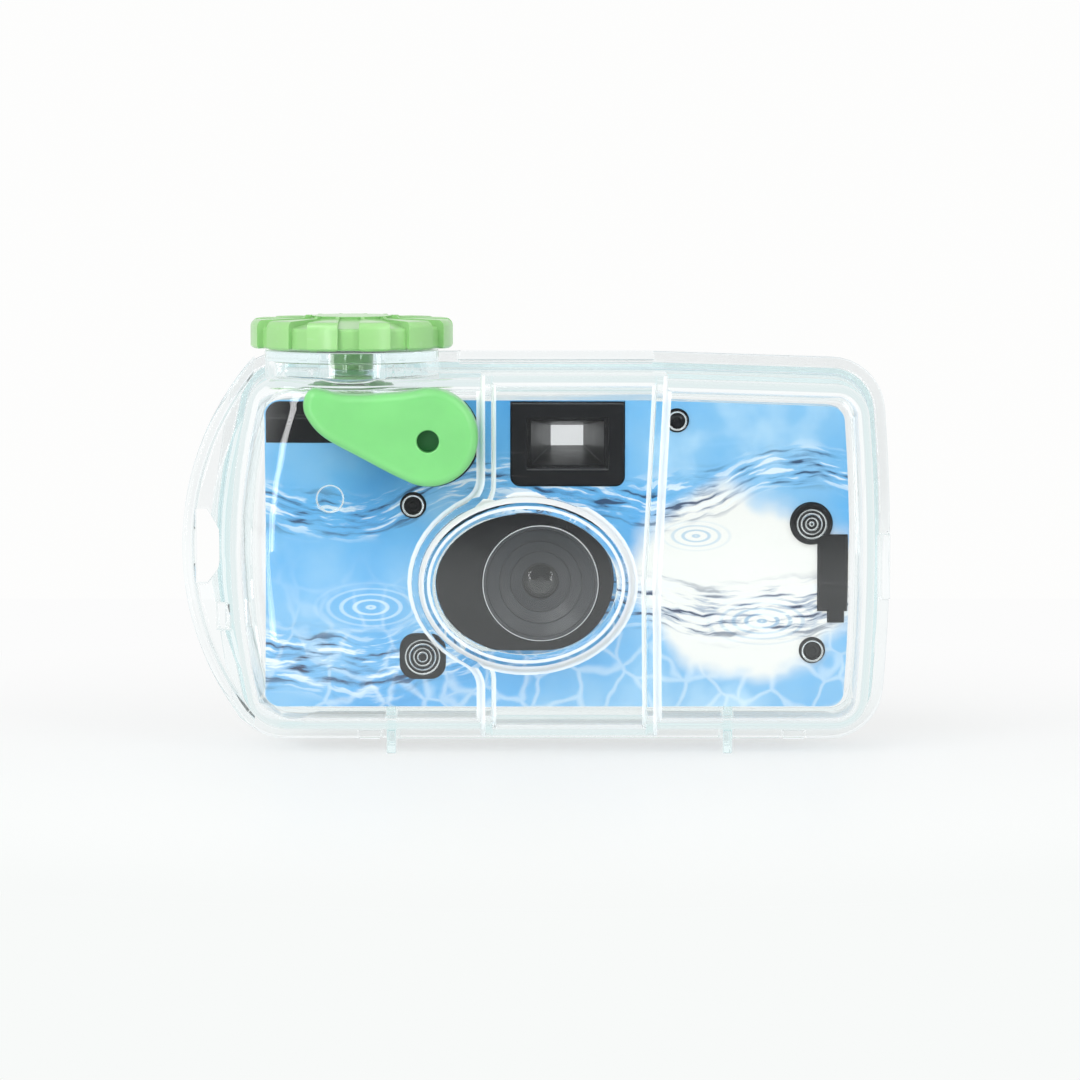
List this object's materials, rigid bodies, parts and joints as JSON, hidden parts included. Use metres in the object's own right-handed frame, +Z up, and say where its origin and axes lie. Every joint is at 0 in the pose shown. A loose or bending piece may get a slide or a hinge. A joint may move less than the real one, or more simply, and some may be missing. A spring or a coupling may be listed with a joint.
{
  "type": "waterproof single-use film camera",
  "caption": "Single-use 35 mm film camera sealed in a clear two-half waterproof case, with a notched advance knob on top, a teardrop shutter lever in front and a strap lug at one side.",
  "frame": {"origin": "under the middle of the case, on the ground that the two foot ribs stand on", "axes": "+Z up, -Y out of the front with the lens, +X towards the supply roll, away from the advance knob"},
  "size_m": [0.1309, 0.0462, 0.0794],
  "materials": {
    "clear_case": "clear polished styrene",
    "clear_lens": "clear optical acrylic",
    "seal_rubber": "soft moulded seal",
    "black_rubber": "greased rubber",
    "black_plastic": "fine satin texture",
    "grey_plastic": "moulded matt",
    "white_plastic": "moulded matt",
    "green_plastic": "satin moulded",
    "printed_label": "printed plastic film, satin",
    "steel": "plain bright",
    "black_metal": "matt black",
    "velvet": "short black pile",
    "film": "smooth film base"
  },
  "bodies": {
    "housing": {"front_shell": "clear_case", "rear_shell": "clear_case", "seal_ring": "seal_rubber", "knob_washer": "black_rubber", "front_cover": "black_plastic", "back_cover": "black_plastic", "film_door": "black_plastic", "chassis": "grey_plastic", "front_label": "printed_label", "viewfinder_frame": "black_plastic", "viewfinder_objective": "clear_lens", "viewfinder_eyepiece": "clear_lens", "lens_hood": "black_plastic", "taking_lens": "clear_lens", "lens_retainer": "black_plastic", "aperture_plate": "black_metal", "film_can": "steel", "film_can_caps": "steel", "light_trap": "velvet", "film_strip": "film", "counter_lens": "clear_lens", "release_spring": "steel", "blade_spring": "steel"},
    "winder": {"advance_knob": "green_plastic", "knob_shaft": "green_plastic", "knob_o_ring": "seal_rubber", "knob_clip": "steel", "advance_wheel": "black_plastic", "can_spool": "black_plastic", "film_on_core": "film"},
    "supply": {"supply_spool": "black_plastic", "film_roll": "film"},
    "film_sprocket": {"sprocket": "black_plastic"},
    "counter": {"counter_dial": "white_plastic"},
    "lever": {"shutter_lever": "green_plastic", "lever_shaft": "green_plastic", "lever_o_ring": "black_rubber", "lever_crank": "green_plastic"},
    "release": {"release_tab": "black_plastic"},
    "shutter": {"shutter_blade": "black_metal"}
  },
  "joints": [
    {"name": "knob_turn", "type": "hinge", "parent": "housing", "child": "winder", "pos_m": [-0.03385, 0.0037, 0.0762], "axis": [0, 0, 1], "continuous": true},
    {"name": "supply_turn", "type": "hinge", "parent": "housing", "child": "supply", "pos_m": [0.0415, 0.0037, 0.0317], "axis": [0, 0, 1], "continuous": true},
    {"name": "sprocket_turn", "type": "hinge", "parent": "housing", "child": "film_sprocket", "pos_m": [0.024, 0.00867, 0.0462], "axis": [0, 0, 1], "continuous": true},
    {"name": "counter_turn", "type": "hinge", "parent": "housing", "child": "counter", "pos_m": [0.0284, 0.00127, 0.0595], "axis": [0, 0, 1], "continuous": true},
    {"name": "lever_press", "type": "hinge", "parent": "housing", "child": "lever", "pos_m": [-0.0194, -0.0196, 0.0579], "axis": [0, -1, 0], "range_deg": [0, 16], "stiffness_Nm_per_rad": 0.01, "springref_deg": -28.65},
    {"name": "release_press", "type": "slide", "parent": "housing", "child": "release", "axis": [0, 0, -1], "range_m": [0, 0.0017], "deforming": ["release_spring"]},
    {"name": "shutter_swing", "type": "hinge", "parent": "housing", "child": "shutter", "pos_m": [0.0098, -0.00545, 0.0372], "axis": [0, 1, 0], "range_deg": [0, 28], "stiffness_Nm_per_rad": 0.0001, "springref_deg": -34.38, "deforming": ["blade_spring"]}
  ],
  "couplings": [
    {"joint": "supply_turn", "follows": "knob_turn", "ratio": 0.5577},
    {"joint": "sprocket_turn", "follows": "knob_turn", "ratio": 0.959},
    {"joint": "counter_turn", "follows": "knob_turn", "ratio": -0.03197},
    {"joint": "release_press", "follows": "lever_press", "m_per_rad": 0.0057}
  ]
}
